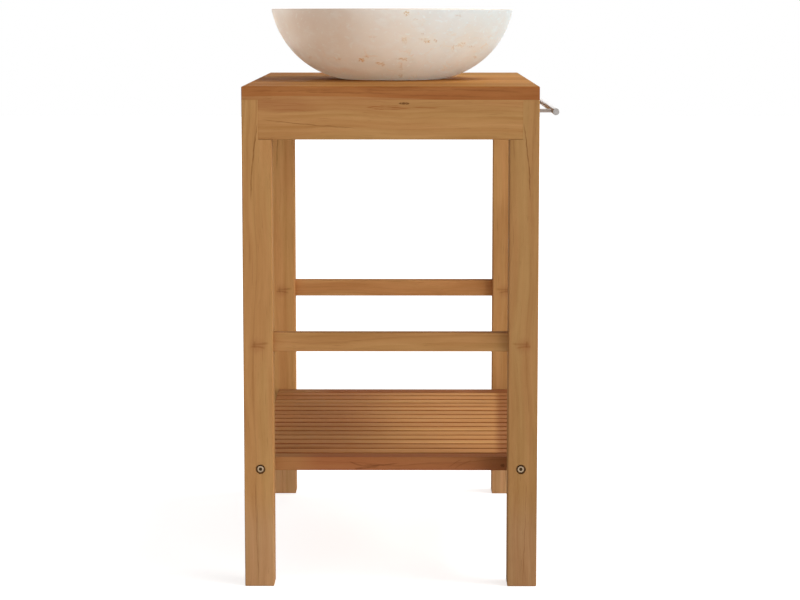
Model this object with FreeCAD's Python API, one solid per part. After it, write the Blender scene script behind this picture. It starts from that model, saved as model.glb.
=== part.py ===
import FreeCAD, Part

import math
import os

# A washstand: a solid wood stand with a slatted shelf and a towel rail, and a round
# stone basin that rests on its top. Millimetres, +Z up from the floor. The front is
# towards -Y, and left is -X. The origin is on the floor, in the middle of the whole
# outline, towel rail included.

# The stand's overall size
stand_width = 740.0
stand_depth = 450.0
stand_height = 770.0
arris_radius = 1.5

# The top: boards glued edge to edge, running from front to back
board_count = 5
top_thickness = 20.0
pipe_hole_radius = 30.0

# Square legs
leg_section = 45.0

# Aprons: the two at the ends lie in rebates in the legs, flush outside,
# and the front and back ones are set back and tenoned into the legs
apron_height = 60.0
apron_thickness = 20.0
apron_let_in = 20.0
long_apron_setback = 5.0
apron_tenon_length = 22.0
apron_tenon_thickness = 10.0
apron_tenon_shoulder = 8.0

# End stretchers, tenoned into the middle of the legs
stretcher_top = 394.0
stretcher_height = 29.0
stretcher_thickness = 20.0
stretcher_tenon_length = 20.0
stretcher_tenon_thickness = 10.0
stretcher_tenon_shoulder = 5.0

# The shelf: an end board at each end, slats between them, and two battens under the slats
shelf_top = 194.4
shelf_edge_inset = 15.0
shelf_end_height = 21.0
strip_width = 30.0
slat_count = 15
slat_thickness = 10.0
slat_arris_radius = 1.0
batten_width = 25.0
batten_inset = 45.0
batten_let_in = 8.0

# Bolts through the legs into threaded inserts in the shelf's end boards
bolt_inset = 25.0
bolt_radius = 3.0
bolt_head_radius = 5.0
bolt_head_height = 6.0
bolt_head_rounding = 0.6
bolt_socket_width = 5.0
bolt_socket_depth = 3.0
hexagon_sides = 6
bolt_grip = 18.0
bolt_play = 0.5
counterbore_radius = 7.5
counterbore_depth = 7.0
insert_radius = 6.0
insert_length = 22.0

# Cleats in the corner between the top and the front and back aprons
cleat_section = 18.0

# Wood screws with heads sunk flush
slat_screw_radius = 1.7
slat_screw_head_radius = 3.5
slat_screw_length = 17.0
cleat_screw_radius = 2.0
cleat_screw_head_radius = 4.0
cleat_screw_length = 30.0

# The towel rail: a round bar on two round posts, screwed on from inside the front apron
rail_length = 400.0
rail_radius = 5.5
rail_end_rounding = 0.8
rail_standoff = 35.0
rail_drop = 45.5
post_radius = 3.0
post_inset = 40.0
post_seat_depth = 5.0
rail_screw_radius = 1.5
rail_screw_head_radius = 3.0
rail_screw_head_height = 2.5
rail_screw_grip = 14.0

# The basin: outside and inside are arcs that rise from a flat middle, the inner one level
# at its start and the outer one at a slope
basin_radius = 200.0
basin_height = 116.0
basin_foot_radius = 81.0
basin_foot_slope_degrees = 9.0
basin_rim_width = 16.0
basin_rim_rounding = 2.5
basin_floor_thickness = 22.0
basin_floor_radius = 45.0
waste_radius = 22.5
waste_seat_radius = 32.0
waste_seat_depth = 3.0

# Clearance round screws, inserts and posts, and the overrun of cuts
fit_clearance = 0.2
cut_overrun = 5.0

# Places that follow from the sizes
rail_reach = rail_standoff + rail_radius
front_y = (rail_reach - stand_depth) / 2
back_y = front_y + stand_depth
middle_y = (front_y + back_y) / 2
end_x = stand_width / 2
leg_inner_x = end_x - leg_section
leg_top = stand_height - top_thickness
apron_bottom = leg_top - apron_height
stretcher_bottom = stretcher_top - stretcher_height
stretcher_outer_x = end_x - (leg_section - stretcher_thickness) / 2
shelf_bottom = shelf_top - shelf_end_height
shelf_front_y = front_y + shelf_edge_inset
shelf_back_y = back_y - shelf_edge_inset
shelf_inner_x = leg_inner_x - strip_width
slat_bottom = shelf_top - slat_thickness
strip_pitch = (2 * leg_inner_x - strip_width) / (slat_count + 1)
board_width = stand_width / board_count
cleat_bottom = leg_top - cleat_section
rail_z = stand_height - rail_drop
rail_y = front_y - rail_standoff

left = -1
right = 1
front = -1
back = 1
end_names = {left: "left", right: "right"}
face_names = {front: "front", back: "back"}

axis_x = FreeCAD.Vector(1, 0, 0)
axis_y = FreeCAD.Vector(0, 1, 0)
axis_z = FreeCAD.Vector(0, 0, 1)


def box_between(corner, opposite):
    """A box from one corner to the opposite one, given in any order."""
    low = [min(pair) for pair in zip(corner, opposite)]
    high = [max(pair) for pair in zip(corner, opposite)]
    sides = [top - bottom for bottom, top in zip(low, high)]
    return Part.makeBox(*sides, FreeCAD.Vector(*low))


def rod(base, direction, radius, length):
    """A round rod that starts at base and runs along direction."""
    return Part.makeCylinder(radius, length, FreeCAD.Vector(*base), direction)


def runs_along(edge, axis):
    """True for a straight edge that is parallel to axis."""
    run = edge.Vertexes[-1].Point - edge.Vertexes[0].Point
    return run.cross(axis).Length < edge.Length / 2


def is_ring(edge):
    """True for a round edge."""
    return isinstance(edge.Curve, Part.Circle)


def eased(solid, radius, chosen):
    """The solid with the edges rounded that the function chosen says yes to."""
    return solid.makeFillet(radius, [edge for edge in solid.Edges if chosen(edge)])


def face_y(face):
    """The outer Y of the stand's front or back face."""
    return front_y if face == front else back_y


def inner_leg_y(face):
    """The Y of the front or back legs' inner faces."""
    return face_y(face) - face * leg_section


def drilled(solid, tools):
    """The solid with every tool cut from it that comes near it."""
    near = [tool for tool in tools if solid.BoundBox.intersect(tool.BoundBox)]
    return solid.cut(near) if near else solid


def wood_screw(base, direction, radius, head_radius, length, grown=0.0):
    """A countersunk screw: a cone for the head, a shank and a point, along direction.

    Grown gives the hole that it lies in.
    """
    head_height = head_radius - radius
    point_length = 2 * radius
    start = FreeCAD.Vector(*base)
    head = Part.makeCone(head_radius + grown, radius + grown, head_height, start, direction)
    neck = start + direction * head_height
    shank_length = length - head_height - point_length
    shank = Part.makeCylinder(radius + grown, shank_length, neck, direction)
    tip = neck + direction * shank_length
    point = Part.makeCone(radius + grown, grown, point_length + grown, tip, direction)
    return head.fuse([shank, point]).removeSplitter()


def top_slab():
    """The whole top before it is parted into boards, with the hole for the waste pipe."""
    slab = box_between((-end_x, front_y, leg_top), (end_x, back_y, stand_height))
    slab = eased(
        slab,
        arris_radius,
        lambda edge: runs_along(edge, axis_z) or edge.CenterOfMass.z > stand_height - arris_radius,
    )
    hole_base = (0, middle_y, leg_top - cut_overrun)
    return slab.cut(rod(hole_base, axis_z, pipe_hole_radius, top_thickness + 2 * cut_overrun))


def board_middle_x(number):
    """The middle of a top board, counted from 0 at the left."""
    return -end_x + (number + 0.5) * board_width


def top_boards(screw_holes):
    """The boards of the top, each a slice of the slab."""
    slab = top_slab()
    boards = {}
    for number in range(board_count):
        low_x = -end_x + number * board_width
        slice_box = box_between((low_x, front_y, leg_top), (low_x + board_width, back_y, stand_height))
        boards[f"top_board_{number + 1}"] = drilled(slab.common(slice_box), screw_holes)
    return boards


def long_apron_faces(face):
    """The outer and inner Y of the front or back apron."""
    outer_y = face_y(face) - face * long_apron_setback
    return outer_y, outer_y - face * apron_thickness


def long_apron_tenon(face, end):
    """The tenon of the front or back apron in the leg at one end."""
    outer_y, inner_y = long_apron_faces(face)
    side_y = (outer_y + inner_y) / 2 - apron_tenon_thickness / 2
    return box_between(
        (end * leg_inner_x, side_y, apron_bottom + apron_tenon_shoulder),
        (
            end * (leg_inner_x + apron_tenon_length),
            side_y + apron_tenon_thickness,
            leg_top - apron_tenon_shoulder,
        ),
    )


def long_apron(face, holes):
    """The front or back apron with a tenon at each end."""
    outer_y, inner_y = long_apron_faces(face)
    board = box_between((-leg_inner_x, outer_y, apron_bottom), (leg_inner_x, inner_y, leg_top))
    board = eased(
        board,
        arris_radius,
        lambda edge: runs_along(edge, axis_x) and edge.CenterOfMass.z < leg_top - arris_radius,
    )
    tenons = [long_apron_tenon(face, end) for end in (left, right)]
    return drilled(board.fuse(tenons).removeSplitter(), holes)


def end_apron_lap(face):
    """How far the end aprons reach over a front or back leg."""
    return inner_leg_y(face) + face * apron_let_in


def end_apron(end):
    """An end apron, which lies in the legs' rebates, flush with their outer faces."""
    board = box_between(
        (end * end_x, end_apron_lap(front), apron_bottom),
        (end * (end_x - apron_thickness), end_apron_lap(back), leg_top),
    )
    return eased(
        board,
        arris_radius,
        lambda edge: runs_along(edge, axis_y) and edge.CenterOfMass.z < leg_top - arris_radius,
    )


def stretcher_tenon(end, face):
    """The tenon of an end stretcher in the front or back leg."""
    middle_x = end * (stretcher_outer_x - stretcher_thickness / 2)
    side_x = middle_x - stretcher_tenon_thickness / 2
    return box_between(
        (side_x, inner_leg_y(face), stretcher_bottom + stretcher_tenon_shoulder),
        (
            side_x + stretcher_tenon_thickness,
            inner_leg_y(face) + face * stretcher_tenon_length,
            stretcher_top - stretcher_tenon_shoulder,
        ),
    )


def stretcher(end):
    """An end stretcher with a tenon at each end."""
    bar = box_between(
        (end * stretcher_outer_x, inner_leg_y(front), stretcher_bottom),
        (end * (stretcher_outer_x - stretcher_thickness), inner_leg_y(back), stretcher_top),
    )
    bar = eased(bar, arris_radius, lambda edge: runs_along(edge, axis_y))
    tenons = [stretcher_tenon(end, face) for face in (front, back)]
    return bar.fuse(tenons).removeSplitter()


def leg(end, face):
    """A leg, with its rebate for the end apron, its two mortises and its bolt hole."""
    post = box_between(
        (end * end_x, face_y(face), 0),
        (end * leg_inner_x, inner_leg_y(face), leg_top),
    )
    post = eased(post, arris_radius, lambda edge: edge.CenterOfMass.z < leg_top - arris_radius)
    rebate = box_between(
        (end * (end_x + cut_overrun), inner_leg_y(face) - face * cut_overrun, apron_bottom),
        (end * (end_x - apron_thickness), end_apron_lap(face), leg_top + cut_overrun),
    )
    cuts = [rebate, long_apron_tenon(face, end), stretcher_tenon(end, face)]
    return post.cut(cuts + bolt_hole(end, face))


def bolt_place(end, face):
    """The seat of a bolt's head, at the bottom of its counterbore."""
    seat_x = end * (end_x - counterbore_depth)
    return seat_x, face_y(face) - face * bolt_inset, shelf_bottom + shelf_end_height / 2


def bolt_hole(end, face):
    """The tools that cut a bolt's hole and counterbore in a leg."""
    seat = bolt_place(end, face)
    inwards = axis_x * -end
    through = rod(seat, inwards, bolt_radius + bolt_play, leg_section)
    counterbore = rod(seat, inwards * -1, counterbore_radius, counterbore_depth + cut_overrun)
    return [through, counterbore]


def bolt(end, face):
    """A bolt with a cylindrical head and a hexagon socket."""
    seat_x, y, z = bolt_place(end, face)
    inwards = axis_x * -end
    top_x = seat_x + end * bolt_head_height
    head = rod((top_x, y, z), inwards, bolt_head_radius, bolt_head_height)
    head = eased(
        head,
        bolt_head_rounding,
        lambda edge: is_ring(edge) and abs(edge.CenterOfMass.x) > abs(seat_x) + bolt_head_height / 2,
    )
    shank = rod((seat_x, y, z), inwards, bolt_radius, leg_section - counterbore_depth + bolt_grip)
    corner_radius = bolt_socket_width / 2 / math.cos(math.pi / hexagon_sides)
    corners = []
    for step in range(hexagon_sides + 1):
        angle = 2 * math.pi * step / hexagon_sides
        corner_y = y + corner_radius * math.cos(angle)
        corner_z = z + corner_radius * math.sin(angle)
        corners.append(FreeCAD.Vector(top_x, corner_y, corner_z))
    socket = Part.Face(Part.makePolygon(corners)).extrude(inwards * bolt_socket_depth)
    return head.fuse(shank).cut(socket).removeSplitter()


def insert_place(end, face):
    """The mouth of a threaded insert, in the outer face of a shelf end board."""
    return (end * leg_inner_x,) + bolt_place(end, face)[1:]


def insert(end, face):
    """A threaded insert, a sleeve round the bolt's end."""
    inwards = axis_x * -end
    place = insert_place(end, face)
    sleeve = rod(place, inwards, insert_radius, insert_length)
    return sleeve.cut(rod(place, inwards, bolt_radius + fit_clearance, insert_length))


def insert_hole(end, face):
    """The hole in a shelf end board for an insert."""
    return rod(insert_place(end, face), axis_x * -end, insert_radius + fit_clearance, insert_length)


def batten_sides(face):
    """The outer and inner Y of the front or back batten."""
    edge_y = shelf_front_y if face == front else shelf_back_y
    outer_y = edge_y - face * batten_inset
    return outer_y, outer_y - face * batten_width


def batten_blank(face):
    """The front or back batten, let into both end boards, before drilling."""
    outer_y, inner_y = batten_sides(face)
    reach_x = shelf_inner_x + batten_let_in
    return box_between((-reach_x, outer_y, shelf_bottom), (reach_x, inner_y, slat_bottom))


def shelf_end(end):
    """An end board of the shelf, with the battens' notches and the inserts' holes."""
    board = box_between(
        (end * leg_inner_x, shelf_front_y, shelf_bottom),
        (end * shelf_inner_x, shelf_back_y, shelf_top),
    )
    board = eased(board, slat_arris_radius, lambda edge: True)
    battens = [batten_blank(face) for face in (front, back)]
    holes = [insert_hole(end, face) for face in (front, back)]
    return board.cut(battens + holes)


def slat_middle_x(number):
    """The middle of a slat, counted from 1 beside the left end board."""
    return -leg_inner_x + strip_width / 2 + number * strip_pitch


def slat(number, holes):
    """A slat that lies across both battens."""
    low_x = slat_middle_x(number) - strip_width / 2
    strip = box_between(
        (low_x, shelf_front_y, slat_bottom),
        (low_x + strip_width, shelf_back_y, shelf_top),
    )
    return drilled(eased(strip, slat_arris_radius, lambda edge: True), holes)


def slat_screws(grown=0.0):
    """Screws up through both battens into every slat."""
    screws = []
    for face in (front, back):
        middle = sum(batten_sides(face)) / 2
        for number in range(1, slat_count + 1):
            base = (slat_middle_x(number), middle, shelf_bottom)
            size = (slat_screw_radius, slat_screw_head_radius, slat_screw_length)
            screws.append(wood_screw(base, axis_z, *size, grown))
    return screws


def cleat_sides(face):
    """The Y of a cleat's face against its apron and of its inner face."""
    apron_y = long_apron_faces(face)[1]
    return apron_y, apron_y - face * cleat_section


def cleat(face, holes):
    """A square cleat between the legs, under the top and against its apron."""
    apron_y, inner_y = cleat_sides(face)
    strip = box_between((-leg_inner_x, apron_y, cleat_bottom), (leg_inner_x, inner_y, leg_top))
    return drilled(strip, holes)


def cleat_screw_size():
    """Radius, head radius and length of the cleats' screws."""
    return cleat_screw_radius, cleat_screw_head_radius, cleat_screw_length


def top_screws(grown=0.0):
    """Screws up through both cleats into the middle of every board."""
    screws = []
    for face in (front, back):
        middle = sum(cleat_sides(face)) / 2
        for number in range(board_count):
            base = (board_middle_x(number), middle, cleat_bottom)
            screws.append(wood_screw(base, axis_z, *cleat_screw_size(), grown))
    return screws


def cleat_screws(grown=0.0):
    """Screws sideways through the cleats into their aprons, between the upright ones."""
    screws = []
    for face in (front, back):
        inner_y = cleat_sides(face)[1]
        for number in range(1, board_count):
            base = (-end_x + number * board_width, inner_y, leg_top - cleat_section / 2)
            screws.append(wood_screw(base, axis_y * face, *cleat_screw_size(), grown))
    return screws


def post_x(end):
    """The X of a towel rail post."""
    return end * (rail_length / 2 - post_inset)


def towel_bar():
    """The bar of the towel rail, with a seat for each post."""
    bar = rod((-rail_length / 2, rail_y, rail_z), axis_x, rail_radius, rail_length)
    bar = eased(bar, rail_end_rounding, is_ring)
    seats = []
    for end in (left, right):
        base = (post_x(end), rail_y + rail_radius - post_seat_depth, rail_z)
        seats.append(rod(base, axis_y, post_radius + fit_clearance, post_seat_depth + cut_overrun))
    return bar.cut(seats)


def towel_post(end):
    """A post from the bar's seat to the front apron, with a threaded hole in its foot."""
    seat_y = rail_y + rail_radius - post_seat_depth
    foot_y = long_apron_faces(front)[0]
    post = rod((post_x(end), seat_y, rail_z), axis_y, post_radius, foot_y - seat_y)
    hole_base = (post_x(end), foot_y, rail_z)
    return post.cut(rod(hole_base, axis_y * -1, rail_screw_radius + fit_clearance, rail_screw_grip))


def rail_screw(end, grown=0.0):
    """A screw with a round head on the apron's inner face and its end in a post."""
    base = (post_x(end), long_apron_faces(front)[1], rail_z)
    head = rod(base, axis_y, rail_screw_head_radius + grown, rail_screw_head_height)
    length = apron_thickness + rail_screw_grip
    return head.fuse(rod(base, axis_y * -1, rail_screw_radius + grown, length)).removeSplitter()


def rising_arc(low_point, rim_point, slope=0.0):
    """An arc that leaves low_point outwards at a slope and ends at rim_point.

    Points are (radius, height), and slope is the angle above the horizontal. The arc's own
    radius is (run squared plus rise squared) over twice (rise cos slope less run sin slope).
    """
    run = rim_point[0] - low_point[0]
    rise = rim_point[1] - low_point[1]
    radius = (run * run + rise * rise) / (2 * (rise * math.cos(slope) - run * math.sin(slope)))
    centre_r = low_point[0] - radius * math.sin(slope)
    centre_z = low_point[1] + radius * math.cos(slope)
    end_slope = math.atan2(rim_point[0] - centre_r, centre_z - rim_point[1])
    half_way = (slope + end_slope) / 2
    middle = (centre_r + radius * math.sin(half_way), centre_z - radius * math.cos(half_way))
    points = [low_point, middle, rim_point]
    return Part.Arc(*[FreeCAD.Vector(r, 0, z) for r, z in points]).toShape()


def basin():
    """The basin, turned about its axis, with a seat and a hole for the waste."""
    seat_z = basin_floor_thickness - waste_seat_depth
    foot = (basin_foot_radius, 0)
    outer_rim = (basin_radius, basin_height)
    inner_rim = (basin_radius - basin_rim_width, basin_height)
    inner_floor = (basin_floor_radius, basin_floor_thickness)
    inside = [
        inner_floor,
        (waste_seat_radius, basin_floor_thickness),
        (waste_seat_radius, seat_z),
        (waste_radius, seat_z),
        (waste_radius, 0),
        foot,
    ]
    straight = Part.makePolygon([FreeCAD.Vector(r, 0, z) for r, z in inside])
    rim = Part.makePolygon([FreeCAD.Vector(r, 0, z) for r, z in (outer_rim, inner_rim)])
    edges = [rising_arc(foot, outer_rim, math.radians(basin_foot_slope_degrees))] + rim.Edges
    edges += [rising_arc(inner_floor, inner_rim)] + straight.Edges
    outline = Part.Wire(Part.__sortEdges__(edges))
    bowl = Part.Face(outline).revolve(FreeCAD.Vector(0, 0, 0), axis_z, 360)
    rim_level = basin_height - basin_rim_rounding
    bowl = eased(
        bowl,
        basin_rim_rounding,
        lambda edge: is_ring(edge) and edge.CenterOfMass.z > rim_level,
    )
    bowl.translate(FreeCAD.Vector(0, middle_y, stand_height))
    return bowl


def both_ways(make, *rest):
    """The four shapes that make gives for each end and each face."""
    return [make(end, face, *rest) for end in (left, right) for face in (front, back)]


def frame_nodes():
    """Legs, aprons, stretchers, top boards and cleats, with the screws of the top."""
    top_holes = top_screws(fit_clearance)
    cleat_holes = cleat_screws(fit_clearance)
    rail_holes = [rail_screw(end, fit_clearance) for end in (left, right)]
    nodes = top_boards(top_holes)
    for face in (front, back):
        nodes[f"apron_{face_names[face]}"] = long_apron(face, cleat_holes + rail_holes)
        nodes[f"top_cleat_{face_names[face]}"] = cleat(face, top_holes + cleat_holes)
        for end in (left, right):
            nodes[f"leg_{face_names[face]}_{end_names[end]}"] = leg(end, face)
    for end in (left, right):
        nodes[f"apron_{end_names[end]}"] = end_apron(end)
        nodes[f"stretcher_{end_names[end]}"] = stretcher(end)
    nodes["top_screws"] = Part.makeCompound(top_screws())
    nodes["cleat_screws"] = Part.makeCompound(cleat_screws())
    return nodes


def shelf_nodes():
    """The shelf's boards, slats and battens, with their screws, bolts and inserts."""
    screw_holes = slat_screws(fit_clearance)
    nodes = {}
    for end in (left, right):
        nodes[f"shelf_end_{end_names[end]}"] = shelf_end(end)
    for number in range(1, slat_count + 1):
        nodes[f"shelf_slat_{number:02d}"] = slat(number, screw_holes)
    for face in (front, back):
        nodes[f"shelf_batten_{face_names[face]}"] = drilled(batten_blank(face), screw_holes)
    nodes["slat_screws"] = Part.makeCompound(slat_screws())
    nodes["shelf_bolts"] = Part.makeCompound(both_ways(bolt))
    nodes["shelf_inserts"] = Part.makeCompound(both_ways(insert))
    return nodes


def rail_nodes():
    """The towel rail: bar, posts and their screws."""
    nodes = {"towel_bar": towel_bar()}
    for end in (left, right):
        nodes[f"towel_post_{end_names[end]}"] = towel_post(end)
    nodes["rail_screws"] = Part.makeCompound([rail_screw(end) for end in (left, right)])
    return nodes


def all_nodes():
    """Every piece by its name."""
    nodes = frame_nodes()
    nodes.update(shelf_nodes())
    nodes.update(rail_nodes())
    nodes["basin"] = basin()
    return nodes


os.makedirs("parts", exist_ok=True)
for name, shape in all_nodes().items():
    shape.exportStep(f"parts/{name}.step")
    print(name, len(shape.Solids), "solids", round(shape.Volume), "mm3", shape.isValid())
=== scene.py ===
# %% [markdown]
# # A teak washstand with a stone basin
#
# The real object is a bench of oiled teak: five boards glued edge to edge on four square legs, with a
# slatted shelf near the floor, a steel towel rail on the front and a turned stone bowl on top. The carpentry
# comes in as a fixed frame, with every board, screw and bolt in its place. This lesson gives each of those
# pieces its finish, turns the bowl and the towel rail afresh as clean surfaces, and lights and frames the
# whole as a studio would.
#
# X runs from end to end, Y from front to back and Z upwards, all in metres. The towel rail is on the front.

# %% Load the frame
import math

import bmesh
import bpy
import numpy as np
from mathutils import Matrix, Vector


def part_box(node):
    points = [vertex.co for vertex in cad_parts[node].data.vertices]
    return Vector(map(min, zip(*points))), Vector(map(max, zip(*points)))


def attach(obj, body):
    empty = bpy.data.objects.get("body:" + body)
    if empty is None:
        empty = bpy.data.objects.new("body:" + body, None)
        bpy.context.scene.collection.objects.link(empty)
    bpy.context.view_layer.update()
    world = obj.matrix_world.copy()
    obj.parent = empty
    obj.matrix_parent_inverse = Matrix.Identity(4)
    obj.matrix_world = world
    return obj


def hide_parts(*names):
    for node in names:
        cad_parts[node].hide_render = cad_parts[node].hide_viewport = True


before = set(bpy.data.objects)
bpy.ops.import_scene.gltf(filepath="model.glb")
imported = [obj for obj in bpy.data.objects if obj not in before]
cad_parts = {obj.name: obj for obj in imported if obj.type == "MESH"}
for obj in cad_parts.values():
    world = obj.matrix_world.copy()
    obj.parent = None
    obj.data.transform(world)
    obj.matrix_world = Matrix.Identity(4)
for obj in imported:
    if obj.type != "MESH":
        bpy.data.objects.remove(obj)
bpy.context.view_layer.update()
MM = 0.001


def corners(node):
    """The lowest and highest corner of a node's box."""
    return (np.array(corner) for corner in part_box(node))


def nodes_named(*starts):
    """The names of the frame's nodes that start so, in order."""
    return sorted(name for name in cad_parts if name.startswith(starts))


# %% [markdown]
# ## Drawing a surface as a grid
#
# Turned parts such as the bowl and the rail are surfaces of revolution: a profile that goes round an axis.
# One could use a lathe modifier on a curve, but a grid of points worked out as one array is exact, quick and
# easy to change: each row is a point of the profile, each column a step round the axis. Rows that shrink to
# the axis are poles, so their doubled points are merged and the surface stays closed.

# %% Grid surfaces
DOUBLED_POINTS, SHARP_DEGREES = 1e-7, 30


def surface(name, points, close_rows):
    """A mesh from a grid of points of shape (rows, columns, 3): each square of four neighbours is a face.
    The columns always close into rings. close_rows joins the last row to the first."""
    rows, columns = points.shape[:2]
    row, column = np.meshgrid(np.arange(rows if close_rows else rows - 1), np.arange(columns), indexing="ij")
    next_row, next_column = (row + 1) % rows, (column + 1) % columns
    faces = np.stack([row * columns + column, row * columns + next_column,
                      next_row * columns + next_column, next_row * columns + column], axis=-1)
    mesh = bpy.data.meshes.new(name)
    mesh.from_pydata(points.reshape(-1, 3), [], faces.reshape(-1, 4))
    return mesh


def turned(name, radius, along, centre, axis, steps, close_rows=False):
    """A grid turned about an axis. A point of the profile lies at centre + along * axis + radius * (cos, sin)
    in the two directions square to the axis. radius has one column, or one for each step round the axis."""
    axis = Vector(axis).normalized()
    across = axis.orthogonal().normalized()
    basis = np.array([across, axis.cross(across), axis])
    angle = np.linspace(0, 2 * math.pi, steps, endpoint=False)
    radius = np.broadcast_to(np.asarray(radius, float).reshape(len(along), -1), (len(along), steps))
    along = np.broadcast_to(np.asarray(along, float).reshape(-1, 1), radius.shape)
    local = np.stack([radius * np.cos(angle), radius * np.sin(angle), along], axis=-1)
    return surface(name, local @ basis + np.array(centre), close_rows)


def arc(centre, radius, start_degrees, end_degrees, count):
    """Points (across, up) on a circle between two angles, counted from the across direction."""
    angle = np.radians(np.linspace(start_degrees, end_degrees, count))
    return np.stack([centre[0] + radius * np.cos(angle), centre[1] + radius * np.sin(angle)], axis=-1)


def dress(piece, material):
    """Gives a piece its only material."""
    piece.data.materials.clear()
    piece.data.materials.append(material)


def link(name, data):
    """A new object in the scene."""
    made = bpy.data.objects.new(name, data)
    bpy.context.scene.collection.objects.link(made)
    return made


def stand_in(node, mesh, material, body):
    """The mesh as a finished piece in the place of a CAD node: doubled points merged, faces outwards, smooth
    except at its sharp edges. It rides on that body."""
    work = bmesh.new()
    work.from_mesh(mesh)
    bmesh.ops.remove_doubles(work, verts=work.verts, dist=DOUBLED_POINTS)
    bmesh.ops.recalc_face_normals(work, faces=work.faces)
    if work.calc_volume(signed=True) < 0:
        bmesh.ops.reverse_faces(work, faces=work.faces)
    work.to_mesh(mesh)
    work.free()
    mesh.polygons.foreach_set("use_smooth", np.ones(len(mesh.polygons), bool))
    mesh.set_sharp_from_angle(angle=math.radians(SHARP_DEGREES))
    piece = link(mesh.name, mesh)
    dress(piece, material)
    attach(piece, body)
    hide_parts(node)


print("grid tools ready")

# %% [markdown]
# ## A pen for node trees
#
# A finish is a small program drawn with nodes. Written out node by node it would hide its idea, so this class
# gives each common step a short name: a sum, a noise, a smooth step, a tint. Each returns the socket that
# carries its result, ready for the next step. What several materials share is a node group, drawn the same
# way. Its sockets are numbers, vectors or colours, told apart by how many values they hold.

# %% Node helpers
ORIGIN, HALF, WHITE = (0, 0, 0), (0.5, 0.5, 0.5), (1, 1, 1, 1)
SOCKETS = {1: "NodeSocketFloat", 3: "NodeSocketVector", 4: "NodeSocketColor"}


class Pen:
    """Draws in a node tree. A method adds a node or a few, and returns the result as a socket."""

    def __init__(self, tree):
        self.tree = tree

    def feed(self, sockets, values):
        """Links or sets sockets: values is a list in their order, or gives a value for each label."""
        for label, value in values.items() if isinstance(values, dict) else enumerate(values):
            if isinstance(value, bpy.types.NodeSocket):
                self.tree.links.new(value, sockets[label])
            else:
                sockets[label].default_value = value

    def add(self, kind, values=(), **settings):
        """A node's outputs, once it has its settings and its inputs."""
        made = self.tree.nodes.new(kind)
        for setting, value in settings.items():
            setattr(made, setting, value)
        self.feed(made.inputs, values)
        return made.outputs

    def use(self, group, values):
        """The outputs of a node group that is placed here."""
        return self.add("ShaderNodeGroup", values, node_tree=bpy.data.node_groups[group])

    def sum(self, operation, *values, clamp=False):
        return self.add("ShaderNodeMath", values, operation=operation, use_clamp=clamp)[0]

    def times(self, product, *others):
        for value in others:
            product = self.sum("MULTIPLY", product, value)
        return product

    def plus(self, base, value, share, clamp=False):
        """base + value * share."""
        return self.sum("MULTIPLY_ADD", value, share, base, clamp=clamp)

    def less(self, first, second):
        return self.sum("SUBTRACT", first, second)

    def most(self, largest, *others):
        for value in others:
            largest = self.sum("MAXIMUM", largest, value)
        return largest

    def vector(self, operation, *values):
        made = self.add("ShaderNodeVectorMath", values, operation=operation)
        return made["Value" if operation == "LENGTH" else "Vector"]

    def pack(self, x, y, z):
        return self.add("ShaderNodeCombineXYZ", (x, y, z))[0]

    def split(self, vector):
        return self.add("ShaderNodeSeparateXYZ", (vector,))

    def mapped(self, vector, middle=ORIGIN, turn=ORIGIN):
        """A vector as measured from a middle, along axes that are turned so."""
        values = {"Vector": vector, "Location": middle, "Rotation": turn}
        return self.add("ShaderNodeMapping", values, vector_type="TEXTURE")[0]

    def step(self, value, start, end):
        """0 at start and 1 at end, smooth between, whichever of the two is larger."""
        values = {"Value": value, "From Min": start, "From Max": end}
        return self.add("ShaderNodeMapRange", values, interpolation_type="SMOOTHSTEP")["Result"]

    def ramp(self, length, start, end):
        """A step of a length, between two limits in millimetres."""
        return self.step(length, start * MM, end * MM)

    def noise(self, place, counts, detail, shift=None, output="Fac"):
        """A cloudy value about 0.5, with so many clouds in a metre, all round or along each axis."""
        place = self.vector("MULTIPLY", place, np.broadcast_to(counts, 3).tolist())
        if shift:
            place = self.vector("ADD", place, shift)
        return self.add("ShaderNodeTexNoise", {"Vector": place, "Scale": 1.0, "Detail": detail})[output]

    def pushed(self, place, noise, reach):
        """The place moved by a colour noise, up to half the reach either way along each axis."""
        return self.vector("ADD", place, self.vector("MULTIPLY", self.vector("SUBTRACT", noise, HALF), reach))

    def lay(self, colour, ink, *shares, blend="MIX"):
        """The ink laid over the colour, as far as the product of the shares says."""
        values = {0: self.times(*shares), 6: colour, 7: ink}
        return self.add("ShaderNodeMix", values, data_type="RGBA", blend_type=blend)[2]

    def tint(self, colour, tint, *shares):
        """The colour times the tint, as far as the product of the shares says."""
        return self.lay(colour, tint, *shares, blend="MULTIPLY")

    def shade(self, colour, length, tint, start, end, *shares):
        """A tint that begins at the start of a length and is whole at its end, both in millimetres."""
        return self.tint(colour, tint, self.ramp(length, start, end), *shares)

    def bump(self, height, strength, depth):
        return self.add("ShaderNodeBump", {"Strength": strength, "Distance": depth, "Height": height})[0]


def node_group(name, inputs, outputs):
    """A group whose inputs have plain values, as (its pen, its inputs to read, its outputs to feed). The
    output Color is a colour, and the others are numbers."""
    tree = bpy.data.node_groups.new(name, "ShaderNodeTree")
    for label, value in inputs.items():
        socket = tree.interface.new_socket(label, in_out="INPUT", socket_type=SOCKETS[np.size(value)])
        socket.default_value = value
    for label in outputs:
        kind = SOCKETS[4 if label == "Color" else 1]
        tree.interface.new_socket(label, in_out="OUTPUT", socket_type=kind)
    return Pen(tree), tree.nodes.new("NodeGroupInput").outputs, tree.nodes.new("NodeGroupOutput").inputs


def material_pen(name):
    """A new material with a plain Principled shader, as (material, pen, the shader's inputs)."""
    material = bpy.data.materials.new(name)
    material.use_nodes = True
    return material, Pen(material.node_tree), material.node_tree.nodes["Principled BSDF"].inputs


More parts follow.
